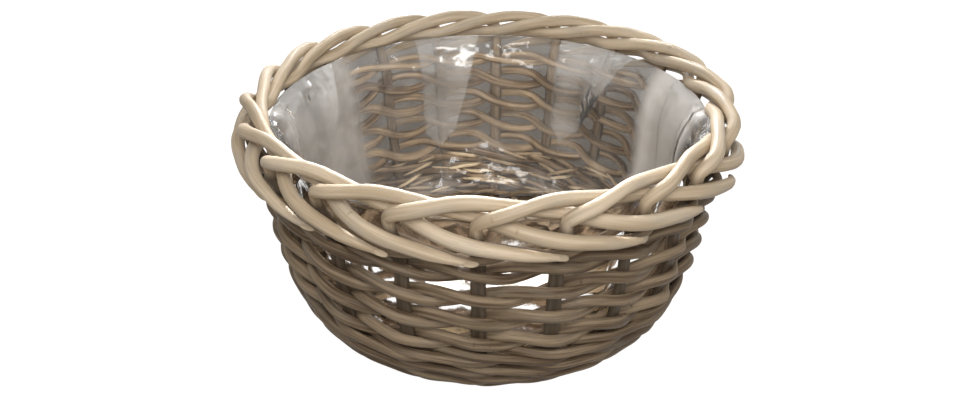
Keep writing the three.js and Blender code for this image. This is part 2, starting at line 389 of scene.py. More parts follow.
def place(piece, node):
    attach(piece, "root")
    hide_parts(node)


def makeRods(node, rods, slot):
    name = f"willow_{node}"
    draw = random.Random(name)
    verts = []
    faces = []
    columns = {key: [] for key in ("grain", "knot", "cutEnd", "tone", "inWall", "inner")}
    for rod in rods:
        swept = sweepRod(rod, draw)
        startEdge, startCap = cutEnd(swept, 0, -1, rod["slants"][0])
        endEdge, endCap = cutEnd(swept, -1, 1, rod["slants"][1])
        swept["rings"][0] = startEdge
        swept["rings"][-1] = endEdge
        faces.extend(tubeFaces(sum(len(part) for part in verts), *swept["size"].shape))
        verts.extend([swept["rings"].reshape(-1, 3), startCap, endCap])
        caps = np.vstack([startCap, endCap])
        columns["grain"].append(swept["grain"].reshape(-1, 3))
        columns["grain"].append(np.column_stack([np.zeros(len(caps)), caps[:, :2]]))
        atCaps = {"knot": 0.0, "cutEnd": 1.0, "tone": rod["tone"], "inWall": 0.0, "inner": 0.0}
        for key, value in atCaps.items():
            columns[key].append(np.concatenate([swept[key].ravel(), np.full(len(caps), value)]))
    made = smoothObject(name, np.vstack(verts).tolist(), faces, willows[slot])
    for key, parts in columns.items():
        writeAttribute(made.data, key, np.concatenate(parts))
    place(made, node)


# The sizes are the settings of the rod's piece.
def rodPlan(points, radii, sizes, draw, **more):
    plan = {"flat": 0.0, "inWall": 0.0, "level": True, "sways": True, "slants": (0.8, 0.8)}
    plan.update(sizes)
    plan.update(points=points, radii=radii, tone=draw.uniform(*sizes["tones"]), **more)
    return plan


# A short trimmed or split end
def endPlan(points, sizes, draw):
    thickness = draw.uniform(*sizes["rod"])
    return rodPlan(points, [thickness * part for part in sizes["taper"]], sizes, draw)


# Willow, peeled and greyed. The grain attribute runs along the rod in x, and across it in y and z. A
# range says from where to where a pattern comes to show.
willow = {
    "noises": {
        "streaks": ((18, 420, 420), 3.0),
        "patches": ((32, 120, 120), 3.0),
        "fibres": ((70, 2600, 2600), 2.0),
        "specks": ((420, 900, 900), 2.0),
    },
    "paleRange": (0.32, 0.72),
    "freshRange": (0.3, 1.1),
    "greyRange": (0.5, 0.72),
    "lineRange": (0.5, 0.78),
    "speckRange": (0.66, 0.78),
    "scarRange": (0.55, 0.95),
    "scarShare": 0.55,
    "innerRange": (0.1, 0.7),
    "roughRange": (0.3, 0.8),
    "relief": {"fibres": 0.5, "specks": 0.2, "streaks": 0.6},
    "reliefHeight": 0.0004,
    "specular": 0.22,
}


def woodColour(shader, look, pattern):
    tone = shader.attribute("tone")
    paleness = shader.step(pattern["streaks"] + tone, *willow["paleRange"])
    wood = shader.colours(paleness, look["dark"], look["pale"])
    wood = shader.colours(shader.step(tone, *willow["freshRange"]), wood, look["cut"])
    greyShare, lineShare, speckShare = look["shares"]
    layers = [
        (pattern["patches"], willow["greyRange"], greyShare, look["grey"]),
        (pattern["fibres"], willow["lineRange"], lineShare, look["line"]),
        (pattern["specks"], willow["speckRange"], speckShare, look["line"]),
        (shader.attribute("knot"), willow["scarRange"], willow["scarShare"], look["line"]),
    ]
    for value, shown, share, colour in layers:
        wood = shader.colours(shader.step(value, *shown, 0.0, share), wood, colour)
    # Sides that face in are made paler: painted light.
    if "insidePaintedLight" in look:
        inner = shader.step(shader.attribute("inner"), *willow["innerRange"])
        wood = shader.colours(inner, wood, look["insidePaintedLight"], "MULTIPLY")
    return shader.colours(shader.attribute("cutEnd"), wood, look["cut"])


def willowMaterial(name, look, shadedLook=None):
    shader = Shader(bpy.data.materials.new(name))
    grain = shader.attribute("grain", "Vector")
    pattern = {kind: shader.noise(grain, *sizes) for kind, sizes in willow["noises"].items()}
    wood = woodColour(shader, look, pattern)
    # The stake's part below the border takes the darker look: painted shade.
    if shadedLook:
        wood = shader.colours(shader.attribute("inWall"), wood, woodColour(shader, shadedLook, pattern))
    fibres, specks, streaks = (pattern[kind] * share for kind, share in willow["relief"].items())
    surface = shader.node("ShaderNodeBsdfPrincipled", None, {
        "Base Color": wood,
        "Roughness": shader.step(pattern["streaks"], *willow["roughRange"], *look["roughness"]),
        "Specular IOR Level": willow["specular"],
        "Normal": shader.bump(look["bump"], willow["reliefHeight"], fibres + specks + streaks),
    })
    return shader.done(surface)


# The wall's rods are partly their own darker tone and partly painted shade, and the stakes below the
# border are painted shade. The gain on the sides that face in makes them paler: painted light.
borderLook = {
    "pale": (0.605, 0.49, 0.352, 1),
    "dark": (0.415, 0.318, 0.208, 1),
    "grey": (0.40, 0.36, 0.30, 1),
    "line": (0.28, 0.20, 0.125, 1),
    "cut": (0.56, 0.45, 0.31, 1),
    "shares": (0.45, 0.32, 0.3),
    "roughness": (0.46, 0.62),
    "bump": 0.45,
}
# The stakes' parts in the wall and under the base, nearly black: painted shade, as under the border and
# in the recesses.
stakeShadeLook = {
    "pale": (0.12, 0.09, 0.06, 1),
    "dark": (0.06, 0.041, 0.025, 1),
    "grey": (0.10, 0.085, 0.066, 1),
    "line": (0.03, 0.019, 0.012, 1),
    "cut": (0.4, 0.32, 0.22, 1),
    "insidePaintedLight": (3.4, 3.4, 3.4, 1),
    "shares": (0.5, 0.4, 0.4),
}
wallLook = {
    "pale": (0.30, 0.223, 0.143, 1),
    "dark": (0.085, 0.053, 0.029, 1),
    "grey": (0.235, 0.205, 0.162, 1),
    "line": (0.045, 0.027, 0.014, 1),
    "cut": (0.66, 0.54, 0.36, 1),
    "insidePaintedLight": (2.3, 2.32, 2.36, 1),
    "shares": (0.35, 0.68, 0.45),
    "roughness": (0.52, 0.68),
    "bump": 0.85,
}
baseLook = {
    "pale": (0.84, 0.74, 0.60, 1),
    "dark": (0.46, 0.37, 0.27, 1),
    "grey": (0.54, 0.49, 0.42, 1),
    "line": (0.12, 0.085, 0.055, 1),
    "cut": (0.86, 0.77, 0.62, 1),
    "shares": (0.5, 0.5, 0.45),
    "roughness": (0.56, 0.72),
    "bump": 0.7,
}
willows = {
    "willow_stake": willowMaterial("willowBorder", borderLook, stakeShadeLook),
    "willow_wall": willowMaterial("willowWall", wallLook),
    "willow_base": willowMaterial("willowBase", baseLook),
}
print("willow materials made")


# Stakes, whose bent-over tops make the border. Each entry of the route is how many stakes on, how many
# rod pitches inside the outermost run, and how many rod pitches below the topmost run.
stake = {
    "rod": 0.006,
    "borderRod": 0.0076,
    "baseEdge": 0.010,
    "footLength": 0.028,
    "stickRod": 0.0066,
    "wallStops": [0, 0.07, 0.15, 0.28, 0.48, 0.75, 1],
    "route": [
        (0.0, 1.04, 2.14), (0.0, 0.86, 1.25), (0.08, 0.60, 0.78), (0.25, 0.50, 0.42),
        (0.5, 0.84, 0.15), (0.75, 1.25, 0.0), (1.0, 1.54, 0.08), (1.25, 1.68, 0.28),
        (1.5, 1.76, 0.55), (1.75, 1.86, 0.86), (2.0, 1.84, 1.14), (2.25, 1.25, 1.38),
        (2.5, 0.60, 1.62), (2.75, 0.18, 1.92), (3.0, 0.0, 2.22), (3.25, 0.0, 2.52),
        (3.5, 0.0, 2.84), (3.75, 0.10, 3.2), (3.87, 0.20, 3.4),
    ],
    "wallFlat": -0.35,  # pressed thin between the rods that pass in front and behind
    "variation": (0.95, 1.03),
    "tipFrom": 3,
    "tipShare": 0.44,
    "tipPower": 2.6,
    "tones": (-0.12, 0.12),
    "slants": (0.5, 2.2),
    "level": False,
    "sides": 16,
    "step": 0.0015,
    "knotGap": (0.05, 0.11),
    "knotBulge": 0.05,
}
baseWeaveEnd = bowl["footDiameter"] / 2 - stake["baseEdge"]
borderPitch = stake["borderRod"] + bowl["clearance"]
outerRunRadius = (bowl["outerDiameter"] - stake["borderRod"]) / 2
topRunHeight = bowl["height"] - stake["borderRod"] / 2
footEnd = baseWeaveEnd - stake["footLength"]


def stakeRod(index, draw):
    angle = firstStake + index * stakeStep
    side = 1 if index % 2 == 0 else -1
    stickAngle = angle - side * stakeStep / 2
    beside = (stake["stickRod"] + stake["rod"]) / 2 + bowl["clearance"]
    across = np.array([math.cos(stickAngle), math.sin(stickAngle), 0]) * side * beside
    points = []
    for reach in (footEnd, (footEnd + baseWeaveEnd) / 2, baseWeaveEnd):
        points.append(around(stickAngle, reach, bowl["baseMiddle"]) + across)
    flat = [0.0] * len(points)
    for share in stake["wallStops"]:
        points.append(around(angle, *wallPlace(share)))
        flat.append(stake["wallFlat"])
    radii = [stake["rod"] / 2] * len(points)
    # The foot and the part in the wall take the stake's darker look, which is painted shade.
    inWall = [1.0] * len(points)
    thickness = stake["borderRod"] / 2 * draw.uniform(*stake["variation"])
    tipAt = stake["route"][-1][0]
    for on, inside, below in stake["route"]:
        radius = outerRunRadius - inside * borderPitch
        points.append(around(angle + on * stakeStep, radius, topRunHeight - below * borderPitch))
        nearTip = max(on - stake["tipFrom"], 0) / (tipAt - stake["tipFrom"])
        taper = 1 - (1 - stake["tipShare"]) * nearTip ** stake["tipPower"]
        radii.append(thickness * taper if on > 0 else (stake["rod"] / 2 + thickness) / 2)
        flat.append(0.0)
        inWall.append(1.0 if on == 0 and below > 2 else 0.0)
    return rodPlan(points, radii, stake, draw, flat=flat, inWall=inWall)


for index in range(stakeCount):
    node = f"stake_{index + 1:02d}"
    makeRods(node, [stakeRod(index, random.Random(node))], "willow_stake")
print("stakes and border made")


# Pairing: two rods to a row, which change places between every two stakes. The rod outside a stake
# rides higher than the one inside it, so the pair's middle lies a drop under the even row.
pairing = {
    "rod": 0.006,
    "rows": 4,
    "topRowDrop": 0.008,
    "rowGap": 0.0023,
    "thickness": 0.0062,
    "flat": 0.06,
    "reach": 0.0048,
    "lift": 0.0038,
    "tilt": 0.0020,
    "drop": 0.0015,
    "crossingShare": 0.36,
    "crossingStray": (-0.04, 0.04),
    "stray": (-0.0004, 0.0004),
    "taper": (1.04, 0.93),
    "tones": (-0.15, 0.15),
    "stakesBetweenRowStarts": 6,
    "sides": 14,
    "step": 0.002,
    "knotGap": (0.06, 0.12),
    "knotBulge": 0.06,
}
collar = {
    **pairing,
    "rod": 0.0045,
    "thickness": 0.0050,
    "flat": 0.05,
    "reach": 0.0050,
    "lift": 0.0027,
    "tilt": 0.0012,
}
pairingHalfHeight = pairing["rod"] * (bowl["crossFactor"] + 0.5)
pairingPitch = 2 * pairingHalfHeight + pairing["rowGap"]
topPairingHeight = wallTopHeight - pairing["topRowDrop"]


# The row's middle line is where(outward, upward), the same at every angle.
def pairedRod(where, startStake, sizes, draw):
    points = []
    for k in range(stakeCount + 1):
        side = -1 if k % 2 == 0 else 1
        angle = firstStake + (startStake + k) * stakeStep
        stray = draw.uniform(*sizes["stray"])
        points.append(around(angle, *where(side * sizes["reach"], side * sizes["tilt"] + stray)))
        if k < stakeCount:
            crossing = sizes["crossingShare"] + draw.uniform(*sizes["crossingStray"])
            angle += crossing * stakeStep
            points.append(around(angle, *where(0, stray - side * sizes["lift"])))
    radii = np.linspace(*sizes["taper"], len(points)) * sizes["thickness"] / 2
    return rodPlan(points, radii, sizes, draw)


def makePair(name, where, startStake, sizes):
    for member, letter in enumerate("ab"):
        node = f"{name}_{letter}"
        rod = pairedRod(where, startStake + member, sizes, random.Random(node))
        makeRods(node, [rod], "willow_wall")


for row in range(pairing["rows"]):
    rowHeight = topPairingHeight - row * pairingPitch - pairing["drop"]
    placeInRow = partial(wallPlace, wallShareAtHeight(rowHeight))
    makePair(f"pairing_rod_{row + 1}", placeInRow, 1 + pairing["stakesBetweenRowStarts"] * row, pairing)

# The collar lies on the stretch where the stakes lean out from the top row to the border.
_, stakeInside, stakeBelow = stake["route"][0]
leanFoot = np.array([wallTopRadius, wallTopHeight])
leanTop = np.array([outerRunRadius - stakeInside * borderPitch, topRunHeight - stakeBelow * borderPitch])
lean = (leanTop - leanFoot) / np.linalg.norm(leanTop - leanFoot)
collarHalfHeight = collar["rod"] * (bowl["crossFactor"] + 0.5)
collarHeight = topPairingHeight + pairingHalfHeight + bowl["clearance"] + collarHalfHeight
collarMiddle = leanFoot + lean * (collarHeight - wallTopHeight) / lean[1]


def whereOnLean(outward, upward):
    radius = collarMiddle[0] + outward * lean[1] + upward * lean[0]
    return radius, collarMiddle[1] - outward * lean[0] + upward * lean[1]


makePair("collar_rod", whereOnLean, 1, collar)
print("pairing and collar made")


# Waling: three rods laid in level rounds, each outside two stakes and inside the next. They step up to
# the next round together, at one place, and end inside a stake.
waling = {
    "rod": 0.0043,
    "members": 3,
    "startStake": 9,
    "stepUpStakes": 2,
    "thickness": 0.0051,
    "flat": 0.05,
    "reach": 0.0047,
    "outward": [1, 1, 1, 0, -1, 0],
    "upward": [1, 0, -1, -1, 0, 1],
    "tones": (-0.15, 0.15),
    "sides": 12,
    "step": 0.002,
    "knotGap": (0.06, 0.13),
    "knotBulge": 0.07,
}

# The ends of the rods it is pieced from are trimmed on the inside, and lie lower near the front.
trimmed = {
    **waling,
    "count": 85,
    "rod": (0.0018, 0.0030),
    "taper": (0.5, 0.5, 0.35),
    "flat": 0.1,
    "length": (0.010, 0.024),
    "share": (0.0, 0.38),
    "frontShare": 0.7,
    "frontReach": 1.1,  # radians
    "slope": 0.22,
    "inside": (0.0048, 0.0068),
    "curl": 0.3,
    "tones": (0.0, 0.9),
    "slants": (1.5, 1.5),
    "knotBulge": 0.0,
}
walingReach = ((stake["rod"] + waling["rod"]) / 2 + bowl["clearance"]) * bowl["slantFactor"]
walingLift = waling["rod"] * bowl["crossFactor"]
walingPitch = 2 * walingLift + waling["rod"] + bowl["clearance"]
walingStart = walingReach / 2
lowestPairing = topPairingHeight - (pairing["rows"] - 1) * pairingPitch
walingTop = wallShareAtHeight(lowestPairing - pairingHalfHeight - bowl["clearance"]) * wallLength
walingSpace = walingTop - waling["rod"] / 2 - walingLift - walingStart
walingRounds = math.floor(walingSpace / walingPitch) + 1
roundSpacing = walingSpace / (walingRounds - 1)
walingCycle = len(waling["outward"])
insidePhase = waling["outward"].index(-1)
longestWaling = 2 * (walingRounds * stakeCount - waling["stepUpStakes"] - waling["members"] + 1)
walingHalfSteps = walingCycle * ((longestWaling - insidePhase) // walingCycle) + insidePhase


def walingRod(member, draw):
    points = []
    for k in range(walingHalfSteps + 1):
        stakesOn = member + k / 2
        turn = math.floor(stakesOn / stakeCount)
        steppedUp = max((stakesOn - (turn + 1) * stakeCount) / waling["stepUpStakes"] + 1, 0)
        share = (walingStart + (turn + steppedUp) * roundSpacing) / wallLength
        phase = k % walingCycle
        outward = waling["outward"][phase] * waling["reach"]
        radius, z = wallPlace(share, outward, waling["upward"][phase] * walingLift)
        angle = firstStake + (waling["startStake"] + stakesOn) * stakeStep
        points.append(around(angle, radius, max(z, waling["thickness"] / 2)))
    return rodPlan(points, waling["thickness"] / 2, waling, draw)


def trimmedEnd(draw):
    length = draw.uniform(*trimmed["length"])
    share = draw.uniform(*trimmed["share"])
    slope = draw.gauss(0, trimmed["slope"])
    angle = draw.uniform(-math.pi, math.pi)
    if abs(angle) < trimmed["frontReach"]:
        share *= trimmed["frontShare"]
    inside = draw.uniform(*trimmed["inside"])
    points = []
    for along in (-0.5, 0, 0.5):
        shareThere = min(max(share + slope * along * length / wallLength, 0), 1)
        radius, z = wallPlace(shareThere, -inside * (1 - trimmed["curl"] * abs(along)))
        points.append(around(angle + along * length / radius, radius, z))
    return endPlan(points, trimmed, draw)


for member in range(waling["members"]):
    node = f"waling_rod_{member + 1}"
    draw = random.Random(node)
    rods = [walingRod(member, draw)]
    rods.extend(trimmedEnd(draw) for _ in range(trimmed["count"]))
    makeRods(node, rods, "willow_wall")
print("waling made")


# Base sticks: two laid across three, fanned out so that their ends stand evenly round.
stick = {
    "endSetback": 0.004,
    "slathReach": 0.011,
    "fanStart": 0.028,
    "tones": (0.0, 0.0),
    "slants": (0.3, 0.3),
    "sides": 16,
    "step": 0.0022,
    "knotGap": (0.03, 0.08),
    "knotBulge": 0.04,
}
stickSpacing = stake["stickRod"] + bowl["clearance"]


def stickRod(firstEnd, count, index, level, draw):
    direction = firstEnd + (count - 1) / 2 * stickStep
    along = around(direction, stick["slathReach"], 0)
    aside = (index - (count - 1) / 2) * stickSpacing
    middle = around(direction + math.pi / 2, aside, bowl["baseMiddle"] + level)
    reach = bowl["footDiameter"] / 2 - stick["endSetback"]
    endA = firstEnd + math.pi + (count - 1 - index) * stickStep
    endB = firstEnd + index * stickStep
    points = [
        around(endA, reach, bowl["baseMiddle"]),
        around(endA, stick["fanStart"], bowl["baseMiddle"]),
        middle - along,
        middle + along,
        around(endB, stick["fanStart"], bowl["baseMiddle"]),
        around(endB, reach, bowl["baseMiddle"]),
    ]
    return rodPlan(points, stake["stickRod"] / 2, stick, draw)


sticks = [("long", firstStick, bowl["longSticks"], -stickSpacing / 2)]
crossStart = firstStick + bowl["longSticks"] * stickStep
sticks.append(("cross", crossStart, bowl["crossSticks"], stickSpacing / 2))
for kind, firstEnd, count, level in sticks:
    for index in range(count):
        node = f"base_stick_{kind}_{index + 1}"
        makeRods(node, [stickRod(firstEnd, count, index, level, random.Random(node))], "willow_base")


# Base weave: fine rods paired round the stick ends in a widening spiral.
weaver = {
    **stick,
    "count": 2,
    "rod": 0.0028,
    "start": 0.024,
    "pitch": 0.0041,
    "lift": 0.0051,
    "liftStray": (-0.0005, 0.0003),
    "sidestep": 0.0010,
    "sideStray": (-0.0007, 0.0007),
    "bundleShare": 0.55,  # how much of a bundle's width it lies flat on
    "tones": (-0.1, 0.1),
    "slants": (0.8, 0.8),
    "sways": False,
    "sides": 8,
    "knotBulge": 0.08,
}

# Split ends of the base weave, which stand a little out of it and lie much as it does
split = {
    **weaver,
    "count": 130,
    "rod": (0.0016, 0.0025),
    "taper": (0.5, 0.5, 0.3),
    "flat": 0.2,
    "length": (0.008, 0.020),
    "height": (0.0118, 0.0140),
    "area": (0.03, 1),  # share of the base's area inside it
    "turn": 0.35,
    "tilt": (-0.08, 0.08),
    "bow": (-0.0012, 0.0012),
    "tones": (0.0, 1.1),
    "slants": (1.5, 1.5),
    "knotBulge": 0.0,
}


def baseWeaveRod(member, draw):
    groups = round((baseWeaveEnd - weaver["start"]) / weaver["pitch"] * stickEnds)
    points = []
    for group in range(groups + 1):
        over = 1 if (group + member) % 2 == 0 else -1
        radius = weaver["start"] + weaver["pitch"] * group / stickEnds
        middle = firstStick + group * stickStep
        bundle = stake["stickRod"] / 2 + (stake["rod"] if radius > footEnd else 0)
        halfTurn = (bundle * weaver["bundleShare"]) / radius
        z = bowl["baseMiddle"] + over * (weaver["lift"] + draw.uniform(*weaver["liftStray"]))
        points.append(around(middle - halfTurn, radius, z))
        points.append(around(middle + halfTurn, radius, z))
        if group < groups:
            between = radius + over * weaver["sidestep"] + draw.uniform(*weaver["sideStray"])
            points.append(around(middle + stickStep / 2, between, bowl["baseMiddle"]))
    return rodPlan(points, weaver["rod"] / 2, weaver, draw)


def splitEnd(draw):
    length = draw.uniform(*split["length"])
    angle = draw.uniform(0, 2 * math.pi)
    radius = (baseWeaveEnd - length / 2) * math.sqrt(draw.uniform(*split["area"]))
    height = draw.uniform(*split["height"])
    heading = angle + draw.gauss(0, split["turn"])
    along = np.array([math.cos(heading), math.sin(heading), draw.uniform(*split["tilt"])]) * length / 2
    middle = around(angle, radius, height)
    bow = around(angle, draw.uniform(*split["bow"]), 0)
    return endPlan([middle - along, middle + bow, middle + along], split, draw)


for member in range(weaver["count"]):
    node = f"base_weaver_{member + 1}"
    draw = random.Random(node)
    rods = [baseWeaveRod(member, draw)]
    rods.extend(splitEnd(draw) for _ in range(split["count"]))
    makeRods(node, rods, "willow_base")
print("base made")


# Film liner: a round sheet pressed into the bowl. Its spare width lies in pleats, each of which runs
# forward to its far edge, back to its near edge and forward again, so the film is threefold there.
film = {
    "floorRadius": 0.090,
    "floorHeight": 0.0158,
    "floorStops": [0.0, 0.04, 0.08],
    "setback": 0.0086,
    "edgeRadius": 0.1303,
    "edgeHeight": 0.1235,
    "wallStops": [0.1, 0.2, 0.37, 0.65, 1],
    "outlineStep": 0.0005,
    "along": 190,
    "columnStep": 0.8,  # degrees
    "foldColumns": 10,
    "layerGap": 0.0003,
    "layerFade": 0.6,  # degrees
    "closedWidth": 0.25,  # degrees left of a pleat where it has run out
    "sheetDiameter": 0.424,
    # near edge at the top and at the foot, far edge at the top and at the foot, height of the foot
    "pleats": [
        (-177.0, -166.0, -156.5, -156.5, 0.046),
        (-126.0, -112.0, -92.0, -104.0, 0.050),
        (-86.0, -77.0, -62.0, -70.0, 0.040),
        (56.0, 64.0, 82.0, 75.0, 0.040),
        (92.0, 98.0, 112.0, 106.0, 0.050),
        (131.0, 150.0, 156.5, 156.5, 0.052),
    ],
    "pleatOpening": 0.012,
    "coverOpening": 0.01,
    "coverFade": 0.03,
    "folds": 22,
    "foldDepth": 0.0032,
    "foldVariation": 0.3,
    "foldRise": 0.025,
}

# Dents and crinkles, each with its width and height, and where they are calmed
crumple = {
    "radius": 0.115,
    "dents": (0.026, 0.0018),
    "crinkles": (0.010, 0.0009),
    "crinkleShare": 0.8,
    "dentCalm": 0.6,
    "crinkleCalm": 0.5,
    "hazeCalm": 0.9,
    "hazeGain": 1.2,
    "bandHeight": 0.114,  # a band of sharper crinkles under the border
    "bandReach": 0.006,
    "bandShare": 1.6,
    "standOff": 0.0014,
    "limits": (0.0003, 0.008),
    "middle": (0.02, 0.07),  # where and over what length it grows from middleShare
    "middleShare": 0.35,
    "edgeReach": 0.006,
    "edgeShare": 0.15,
    "floorSpill": 0.006,
    "floorFade": 0.012,
}

# Where the film is milky. Angles are in radians, apart from those of the patches in degrees.
haze = {
    "frontReach": 1.35,
    "frontFade": 0.3,
    "patches": [(-109, 19, 0.40), (104, 12, 0.85)],  # angle, half width and strength
    "patchFade": 0.12,
    "rise": (0.022, 0.015),  # where it starts and over what height it grows
    "top": (0.106, 0.006),
    "topLoss": 0.08,
    "pleats": 0.05,
}


def filmOutline():
    corners = [(radius, film["floorHeight"]) for radius in film["floorStops"]]
    corners.extend(wallPlace(share, -film["setback"]) for share in film["wallStops"])
    corners.append((film["edgeRadius"], film["edgeHeight"]))
    smooth, _ = smoothRoute([(radius, 0.0, z) for radius, z in corners], film["outlineStep"])
    along = lengthsAlong(smooth)
    at = np.linspace(0, along[-1], film["along"] + 1)
    return np.interp(at, along, smooth[:, 0]), np.interp(at, along, smooth[:, 2]), at


# Crumpled film is flat facets that meet at sharp creases: the highest of many low pyramids.
def pyramids(x, y, width, height, size, tall, draw):
    count = int(width * height / size ** 2)
    result = np.full(x.shape, -1.0)
    for _ in range(count):
        centreX = draw.uniform(0, width)
        centreY = draw.uniform(0, height)
        peak = draw.uniform(0.2, 1.0)
        turn = draw.uniform(0, math.pi)
        gapX = (x - centreX + width / 2) % width - width / 2
        gapY = y - centreY
        reach = np.full(x.shape, -1.0)
        for side in range(5):
            facing = turn + side * 2 * math.pi / 5
            slope = 1 + 0.5 * math.sin(3 * facing)
            reach = np.maximum(reach, slope * (gapX * math.cos(facing) + gapY * math.sin(facing)))
        result = np.maximum(result, peak - reach / size)
    return result * tall


def fromAngle(angles, centre):
    return np.abs((angles - centre + math.pi) % (2 * math.pi) - math.pi)


def pleatEdges(pleat, height):
    nearTop, nearFoot, farTop, farFoot, foot = pleat
    share = ramp(height, foot, film["edgeHeight"] - foot)
    near = nearFoot + (nearTop - nearFoot) * share
    far = farFoot + (farTop - farFoot) * share
    middle = (near + far) / 2
    opened = ramp(height, foot, film["pleatOpening"])
    half = np.maximum((far - near) / 2 * opened, film["closedWidth"] / 2)
    return middle - half, middle + half


# Columns of the sheet: their angles, how many film layers they lie inside, and where it turns back.
def filmColumns(height):
    edges = [pleatEdges(pleat, height) for pleat in film["pleats"]]
    angles = []
    layers = []
    turning = []
    start = edges[-1][0] - 360
    startFar = edges[-1][1] - 360
    for near, far in edges:
        steps = max(int(round(np.max(far - start) / film["columnStep"])), 2)
        for k in range(steps):
            angle = start + (far - start) * k / steps
            overLast = np.clip((startFar - angle) / film["layerFade"] + 0.5, 0, 1)
            underNext = np.clip((angle - near) / film["layerFade"] + 0.5, 0, 1)
            angles.append(angle)
            layers.append(2 * overLast * (1 - underNext))
            turning.append(k == 0)
        for k in range(film["foldColumns"]):
            angles.append(far + (near - far) * k / film["foldColumns"])
            layers.append(np.full(len(height), 1.0))
            turning.append(k == 0)
        start = near
        startFar = far
    return np.radians(np.array(angles)), np.array(layers), np.array(turning)


def pleatCover(angles, height):
    cover = np.zeros(angles.shape)
    for pleat in film["pleats"]:
        near, far = pleatEdges(pleat, height)
        middle = np.radians((near + far) / 2)[None, :]
        half = np.radians((far - near) / 2)[None, :]
        opened = ramp(height, pleat[-1], film["coverOpening"])[None, :]
        inside = np.clip((half - fromAngle(angles, middle)) / film["coverFade"] + 1, 0, 1)
        cover = np.maximum(cover, opened * inside)
    return cover


# The spare width between the pleats lies in soft folds: every second column of them stands in.
def mainFolds(angles, height):
    columns = 2 * film["folds"]
    depths = np.zeros(columns)
    for column in range(1, columns, 2):
        variation = 1 - math.sin(column * column)
        depths[column] = film["foldDepth"] * (1 - film["foldVariation"] * variation)
    at = angles / (2 * math.pi) * columns % columns
    column = np.floor(at).astype(int) % columns
    past = at - np.floor(at)
    past = past * past * (3 - 2 * past) * 0.5 + past * 0.5
    depth = depths[column] * (1 - past) + depths[(column + 1) % columns] * past
    return depth * ramp(height, film["floorHeight"], film["foldRise"])[None, :]


def filmHaze(angles, height):
    milky = ramp(haze["frontReach"] - fromAngle(angles, 0), 0, haze["frontFade"])
    for angle, halfWidth, strength in haze["patches"]:
        inside = math.radians(halfWidth) - fromAngle(angles, math.radians(angle))
        milky = np.maximum(milky, strength * np.clip(inside / haze["patchFade"] + 1, 0, 1))
    milky = milky * ramp(height, *haze["rise"])[None, :]
    milky = milky * (1 - haze["topLoss"] * ramp(height, *haze["top"])[None, :])
    return np.maximum(milky, haze["pleats"] * pleatCover(angles, height))


# How far each point of the sheet stands in from its outline
def filmStandIn(angles, layers, milky, height, along, draw):
    width = 2 * math.pi * crumple["radius"]
    x = angles * crumple["radius"]
    y = np.broadcast_to(along, angles.shape)
    reliefs = []
    for size, tall in (crumple["dents"], crumple["crinkles"]):
        raised = pyramids(x, y, width, along[-1], size, tall, draw)
        reliefs.append(raised - pyramids(x, y, width, along[-1], size, tall, draw))
    cover = pleatCover(angles, height)
    band = np.exp(-((height - crumple["bandHeight"]) / crumple["bandReach"]) ** 2)[None, :]
    crinkleShare = crumple["crinkleShare"] - crumple["crinkleCalm"] * cover + crumple["bandShare"] * band
    dents = reliefs[0] * (1 - crumple["dentCalm"] * cover) + reliefs[1] * crinkleShare
    dents = dents * (1 - crumple["hazeCalm"] * np.clip(milky * crumple["hazeGain"], 0, 1))
    inward = np.clip(mainFolds(angles, height) + dents + crumple["standOff"], *crumple["limits"])
    fromMiddle = ramp(along, *crumple["middle"])[None, :]
    inward = inward * (crumple["middleShare"] + (1 - crumple["middleShare"]) * fromMiddle)
    nearEdge = np.clip((along[-1] - along) / crumple["edgeReach"], crumple["edgeShare"], 1)
    return inward * nearEdge[None, :] + layers * film["layerGap"] * fromMiddle


# The sheet turns back sharply along the pleats' edges, so shading doesn't run across them.
def markTurns(mesh, turning, rows):
    ends = np.zeros(2 * len(mesh.edges), int)
    mesh.edges.foreach_get("vertices", ends)
    ends = ends.reshape(-1, 2)
    columns = np.maximum(ends - 1, 0) // rows
    sharp = (ends.min(1) > 0) & (columns[:, 0] == columns[:, 1]) & turning[columns[:, 0]]
    mesh.attributes.new("sharp_edge", "BOOLEAN", "EDGE").data.foreach_set("value", sharp)


def filmObject(material):
    radius, height, along = filmOutline()
    angles, layers, turning = filmColumns(height)
    milky = filmHaze(angles, height)
    inward = filmStandIn(angles, layers, milky, height, along, random.Random("film"))
    rings = radius[None, :] - inward * np.gradient(height, along)[None, :]
    levels = height[None, :] + inward * np.gradient(radius, along)[None, :]
    points = np.stack([rings * np.sin(angles), -rings * np.cos(angles), levels], 2)
    onFloor = ramp(film["floorRadius"] + crumple["floorSpill"] - along, 0, crumple["floorFade"])
    onFloor = np.broadcast_to(onFloor, angles.shape)
    rows = film["along"]
    verts = [[0.0, 0.0, float(points[0, 0, 2])]]
    verts.extend(points[:, 1:].reshape(-1, 3).tolist())
    faces = []
    for i in range(len(angles)):
        here = 1 + i * rows
        there = 1 + (i + 1) % len(angles) * rows
        faces.append([0, here, there])
        for k in range(rows - 1):
            faces.append([here + k, here + k + 1, there + k + 1, there + k])
    made = smoothObject("film_sheet", verts, faces, material)
    markTurns(made.data, turning, rows)
    writeAttribute(made.data, "haze", np.concatenate([[0], milky[:, 1:].ravel()]))
    writeAttribute(made.data, "onFloor", np.concatenate([[1], onFloor[:, 1:].ravel()]))
    return made


filmLook = {
    "clear": (0.97, 0.965, 0.955, 1),
    "lit": (0.86, 0.82, 0.77, 1),
    "through": (0.92, 0.91, 0.88, 1),
    "cloudScale": (30, 30, 30),
    "rippleScale": (260, 260, 120),
    "detail": 3.0,
    "rippleStrength": 0.35,
    "rippleHeight": 0.0006,
    "veilRange": (0.8, 1.0, 0.2, 0.85),  # haze from and to, and how translucent it gets there
    "cloudShare": 0.42,
    "hazeShare": 0.9,
    "floorLoss": 0.4,
    "milkyRange": (0.05, 0.9, 0.0, 0.93),
    "shineRoughness": 0.11,
    "ior": 1.5,
    "shineShare": 1.3,
    "floorShineLoss": 1.1,
}


